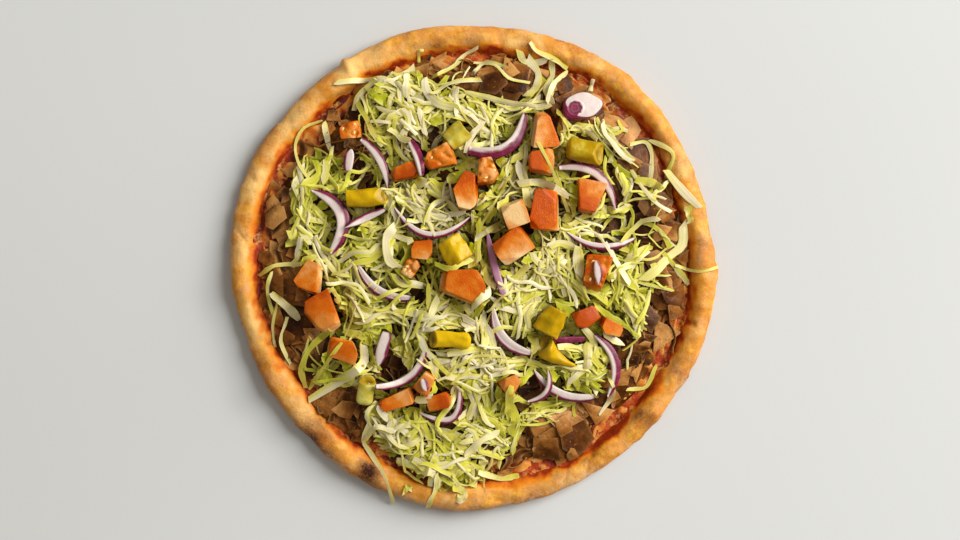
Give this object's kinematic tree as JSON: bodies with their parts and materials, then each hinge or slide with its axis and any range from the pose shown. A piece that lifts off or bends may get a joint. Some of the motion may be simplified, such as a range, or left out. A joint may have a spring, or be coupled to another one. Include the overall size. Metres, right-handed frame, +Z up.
{
  "type": "kebab pizza",
  "caption": "Round baked pizza with shaved kebab meat under a heap of shredded lettuce, tomato, red onion and pickled pepper.",
  "frame": {"origin": "middle of the flat underside, on the surface the pizza lies on", "axes": "+Z up; seen from above +X is to the right and +Y is away from the eater"},
  "size_m": [0.3212, 0.3212, 0.041],
  "materials": {
    "crust": "baked bread crust, matte, golden with darker browned patches",
    "tomato_sauce": "cooked tomato sauce, moist",
    "melted_cheese": "melted cheese, softly glossy",
    "kebab_meat": "roast shaved meat, greasy, fine grained",
    "lettuce": "crisp shredded lettuce, slightly translucent",
    "tomato": "wet cut tomato",
    "pickled_pepper": "wet pickled pepper, yellow green",
    "red_onion": "raw red onion, white flesh with a purple skin"
  },
  "bodies": {
    "root": {"crust": "crust", "tomato_sauce": "tomato_sauce", "melted_cheese": "melted_cheese", "kebab_meat": "kebab_meat", "lettuce": "lettuce", "tomato_01": "tomato", "tomato_02": "tomato", "tomato_03": "tomato", "tomato_04": "tomato", "tomato_05": "tomato", "tomato_06": "tomato", "tomato_07": "tomato", "tomato_08": "tomato", "tomato_09": "tomato", "tomato_10": "tomato", "tomato_11": "tomato", "tomato_12": "tomato", "tomato_13": "tomato", "tomato_14": "tomato", "tomato_15": "tomato", "tomato_16": "tomato", "tomato_17": "tomato", "tomato_18": "tomato", "tomato_19": "tomato", "tomato_20": "tomato", "tomato_21": "tomato", "tomato_22": "tomato", "tomato_23": "tomato", "tomato_24": "tomato", "pepper_1": "pickled_pepper", "pepper_2": "pickled_pepper", "pepper_3": "pickled_pepper", "pepper_4": "pickled_pepper", "pepper_5": "pickled_pepper", "pepper_6": "pickled_pepper", "pepper_7": "pickled_pepper", "pepper_8": "pickled_pepper", "onion_end": "red_onion", "onion_01": "red_onion", "onion_02": "red_onion", "onion_03": "red_onion", "onion_04": "red_onion", "onion_05": "red_onion", "onion_06": "red_onion", "onion_07": "red_onion", "onion_08": "red_onion", "onion_09": "red_onion", "onion_10": "red_onion", "onion_11": "red_onion", "onion_12": "red_onion", "onion_13": "red_onion", "onion_14": "red_onion", "onion_15": "red_onion", "onion_16": "red_onion", "onion_17": "red_onion", "onion_18": "red_onion", "onion_19": "red_onion", "onion_20": "red_onion", "onion_21": "red_onion"}
  },
  "joints": []
}
